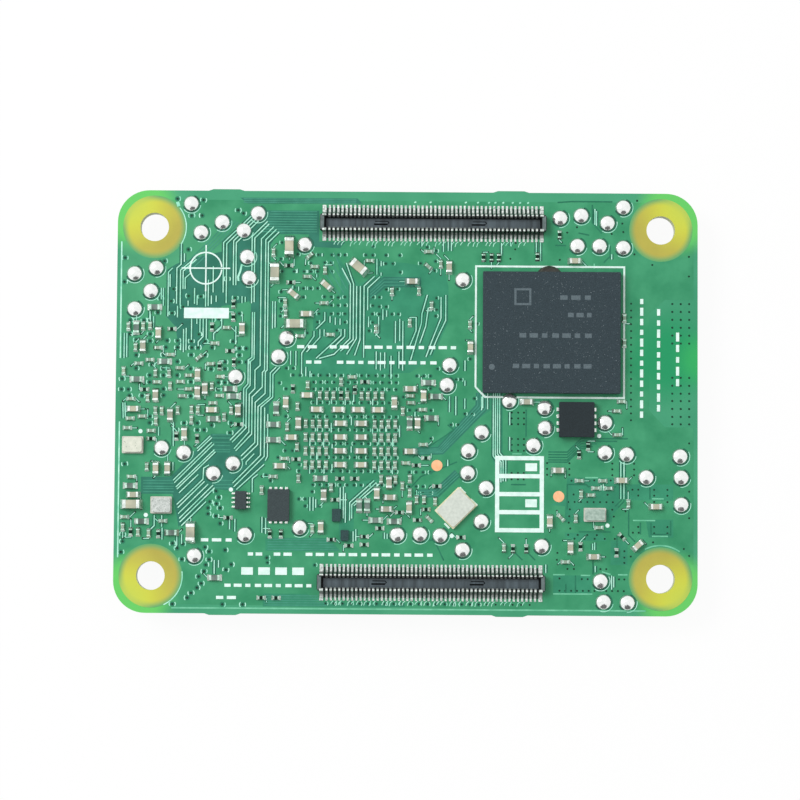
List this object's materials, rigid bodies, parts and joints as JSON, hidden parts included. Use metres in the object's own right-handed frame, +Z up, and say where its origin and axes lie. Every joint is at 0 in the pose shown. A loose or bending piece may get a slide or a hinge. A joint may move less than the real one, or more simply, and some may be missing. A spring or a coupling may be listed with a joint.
{
  "type": "system on module",
  "caption": "Flat rectangular plug-in computer board with corner screw holes, long fine-pitch carrier connectors, a flash memory package, and a lidded processor on its other side.",
  "frame": {"origin": "under the middle of the board, on the plane that the processor's lid rests on", "axes": "+X along the long edge, +Y along the short edge towards the first carrier connector, +Z up out of the carrier side"},
  "size_m": [0.055, 0.0404, 0.0046],
  "materials": {
    "solder_mask_board": "green solder mask on glass-epoxy laminate",
    "connector_plastic": "moulded dark grey plastic",
    "plated_contact": "bright tin plate on copper alloy",
    "package_black": "matt moulding compound",
    "edge_bond_resin": "glossy black resin",
    "solder": "bright reflowed solder",
    "bare_copper": "bare copper",
    "capacitor_ceramic": "tan sintered ceramic",
    "resistor_black": "black glassy coat on ceramic",
    "end_metal": "tinned end metal",
    "crystal_ceramic": "pale ceramic base",
    "crystal_lid_metal": "nickel-plated lid",
    "cream_lid": "cream lid",
    "substrate_green": "dark green package substrate",
    "heat_spreader": "nickel-plated heat spreader",
    "shield_metal": "tin-plated sheet",
    "inductor_grey": "moulded iron powder",
    "gold_plate": "gold-plated brass",
    "white_plastic": "white moulded plastic"
  },
  "bodies": {
    "root": {"circuit_board": "solder_mask_board", "carrier_connector_1_housing": "connector_plastic", "carrier_connector_1_contacts": "plated_contact", "carrier_connector_1_hold_downs": "plated_contact", "carrier_connector_2_housing": "connector_plastic", "carrier_connector_2_contacts": "plated_contact", "carrier_connector_2_hold_downs": "plated_contact", "flash_memory": "package_black", "flash_memory_balls": "solder", "flash_memory_edge_bond": "edge_bond_resin", "power_switch_chip": "package_black", "power_switch_leads": "solder", "boot_memory_chip": "package_black", "boot_memory_leads": "solder", "interface_chip": "package_black", "interface_chip_leads": "solder", "small_logic_chips": "package_black", "main_crystal_base": "crystal_ceramic", "main_crystal_lid": "crystal_lid_metal", "side_crystal_base": "crystal_ceramic", "side_crystal_lid": "crystal_lid_metal", "small_crystal_base": "crystal_ceramic", "small_crystal_lid": "crystal_lid_metal", "clock_oscillator_base": "crystal_ceramic", "clock_oscillator_lid": "cream_lid", "test_pad_domes": "solder", "alignment_marks": "bare_copper", "large_capacitors": "capacitor_ceramic", "large_capacitor_ends": "end_metal", "medium_capacitors": "capacitor_ceramic", "medium_capacitor_ends": "end_metal", "small_capacitors": "capacitor_ceramic", "small_capacitor_ends": "end_metal", "medium_resistors": "resistor_black", "medium_resistor_ends": "end_metal", "small_resistors": "resistor_black", "small_resistor_ends": "end_metal", "processor_substrate": "substrate_green", "processor_lid": "heat_spreader", "processor_balls": "solder", "memory_package": "package_black", "memory_balls": "solder", "io_controller": "package_black", "io_controller_balls": "solder", "power_manager": "package_black", "power_manager_pads": "solder", "network_chip": "package_black", "network_chip_pads": "solder", "shield_can": "shield_metal", "radio_chip": "package_black", "power_inductors": "inductor_grey", "power_inductor_ends": "end_metal", "antenna_connector_base": "white_plastic", "antenna_connector_shell": "gold_plate", "antenna_connector_pin": "gold_plate", "hidden_capacitors": "capacitor_ceramic", "hidden_capacitor_ends": "end_metal"}
  },
  "joints": []
}
